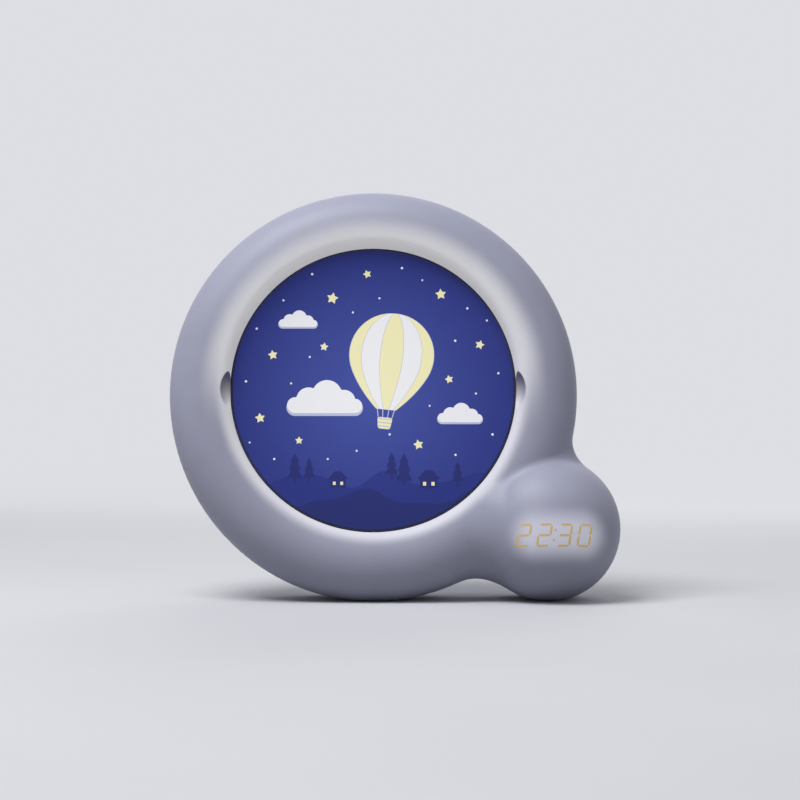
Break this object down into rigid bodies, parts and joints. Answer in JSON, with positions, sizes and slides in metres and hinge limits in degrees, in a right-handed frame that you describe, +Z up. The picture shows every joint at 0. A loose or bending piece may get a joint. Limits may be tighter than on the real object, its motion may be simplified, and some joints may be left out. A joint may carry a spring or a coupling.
{
  "type": "alarm clock",
  "caption": "Children's alarm clock and night light: a ring housing with a lift-out lit picture disc and a ball at the lower right that shows the time.",
  "frame": {"origin": "centre of the clock's box at the surface it stands on", "axes": "+Z up, -Y towards the viewer of the face, +X to the viewer's right; the face leans back 7 degrees"},
  "size_m": [0.2205, 0.0939, 0.2],
  "materials": {
    "housing": "satin moulded plastic",
    "inner_plastic": "white moulded plastic",
    "picture": "printed foil",
    "plate": "translucent plastic",
    "circuit_board": "solder mask",
    "black_plastic": "moulded plastic",
    "amber_plastic": "tinted light guide",
    "lamp_white": "lamp lens",
    "lamp_warm": "lamp lens",
    "steel": "plated steel",
    "brass": "plated brass",
    "cell": "printed jacket of a dry cell",
    "rubber": "matt rubber",
    "wire": "wire sheath"
  },
  "bodies": {
    "housing": {"front_shell": "housing", "rear_shell": "housing", "back_cover": "housing", "diffuser": "plate", "light_bowl": "inner_plastic", "light_board": "circuit_board", "night_lamps": "lamp_white", "day_lamps": "lamp_warm", "digit_guides": "amber_plastic", "display_block": "black_plastic", "display_board": "circuit_board", "display_ribbon": "inner_plastic", "main_board": "circuit_board", "board_parts": "black_plastic", "tact_switches": "steel", "slide_switch": "steel", "dc_socket": "black_plastic", "dc_pin": "steel", "speaker_basket": "steel", "speaker_cone": "black_plastic", "speaker_magnet": "steel", "speaker_leads": "wire", "batteries": "cell", "battery_springs": "steel", "battery_contacts": "brass", "battery_leads": "wire", "housing_screws": "steel", "cover_screws": "steel", "board_screws": "steel", "bowl_screws": "steel", "ring_feet": "rubber", "ball_feet": "rubber"},
    "picture_disc": {"picture_print": "picture", "picture_plate": "plate", "disc_frame": "inner_plastic"},
    "battery_door": {"battery_door": "housing", "door_screw": "steel"},
    "power_slider": {"power_slider": "black_plastic"},
    "hour_button": {"hour_button": "housing"},
    "minute_button": {"minute_button": "housing"},
    "alarm_button": {"alarm_button": "housing"},
    "volume_button": {"volume_button": "housing"},
    "light_button": {"light_button": "housing"},
    "nap_button": {"nap_button": "housing"}
  },
  "joints": [
    {"name": "disc_pull", "type": "slide", "parent": "housing", "child": "picture_disc", "axis": [0, -0.9925, 0.1219], "range_m": [0, 0.03]},
    {"name": "door_swing", "type": "hinge", "parent": "housing", "child": "battery_door", "pos_m": [-0.01025, 0.03036, 0.04763], "axis": [-1, 0, 0], "range_deg": [0, 75]},
    {"name": "power_slide", "type": "slide", "parent": "housing", "child": "power_slider", "axis": [1, 0, 0], "range_m": [0, 0.004]},
    {"name": "hour_press", "type": "slide", "parent": "housing", "child": "hour_button", "axis": [0, -0.9925, 0.1219], "range_m": [0, 0.0006], "stiffness_N_per_m": 900, "springref_m": -0.0003},
    {"name": "minute_press", "type": "slide", "parent": "housing", "child": "minute_button", "axis": [0, -0.9925, 0.1219], "range_m": [0, 0.0006], "stiffness_N_per_m": 900, "springref_m": -0.0003},
    {"name": "alarm_press", "type": "slide", "parent": "housing", "child": "alarm_button", "axis": [0, -0.9925, 0.1219], "range_m": [0, 0.0006], "stiffness_N_per_m": 900, "springref_m": -0.0003},
    {"name": "volume_press", "type": "slide", "parent": "housing", "child": "volume_button", "axis": [0, -0.9925, 0.1219], "range_m": [0, 0.0006], "stiffness_N_per_m": 900, "springref_m": -0.0003},
    {"name": "light_press", "type": "slide", "parent": "housing", "child": "light_button", "axis": [0, -0.9925, 0.1219], "range_m": [0, 0.0006], "stiffness_N_per_m": 900, "springref_m": -0.0003},
    {"name": "nap_press", "type": "slide", "parent": "housing", "child": "nap_button", "axis": [0, -0.9925, 0.1219], "range_m": [0, 0.0006], "stiffness_N_per_m": 900, "springref_m": -0.0003}
  ]
}
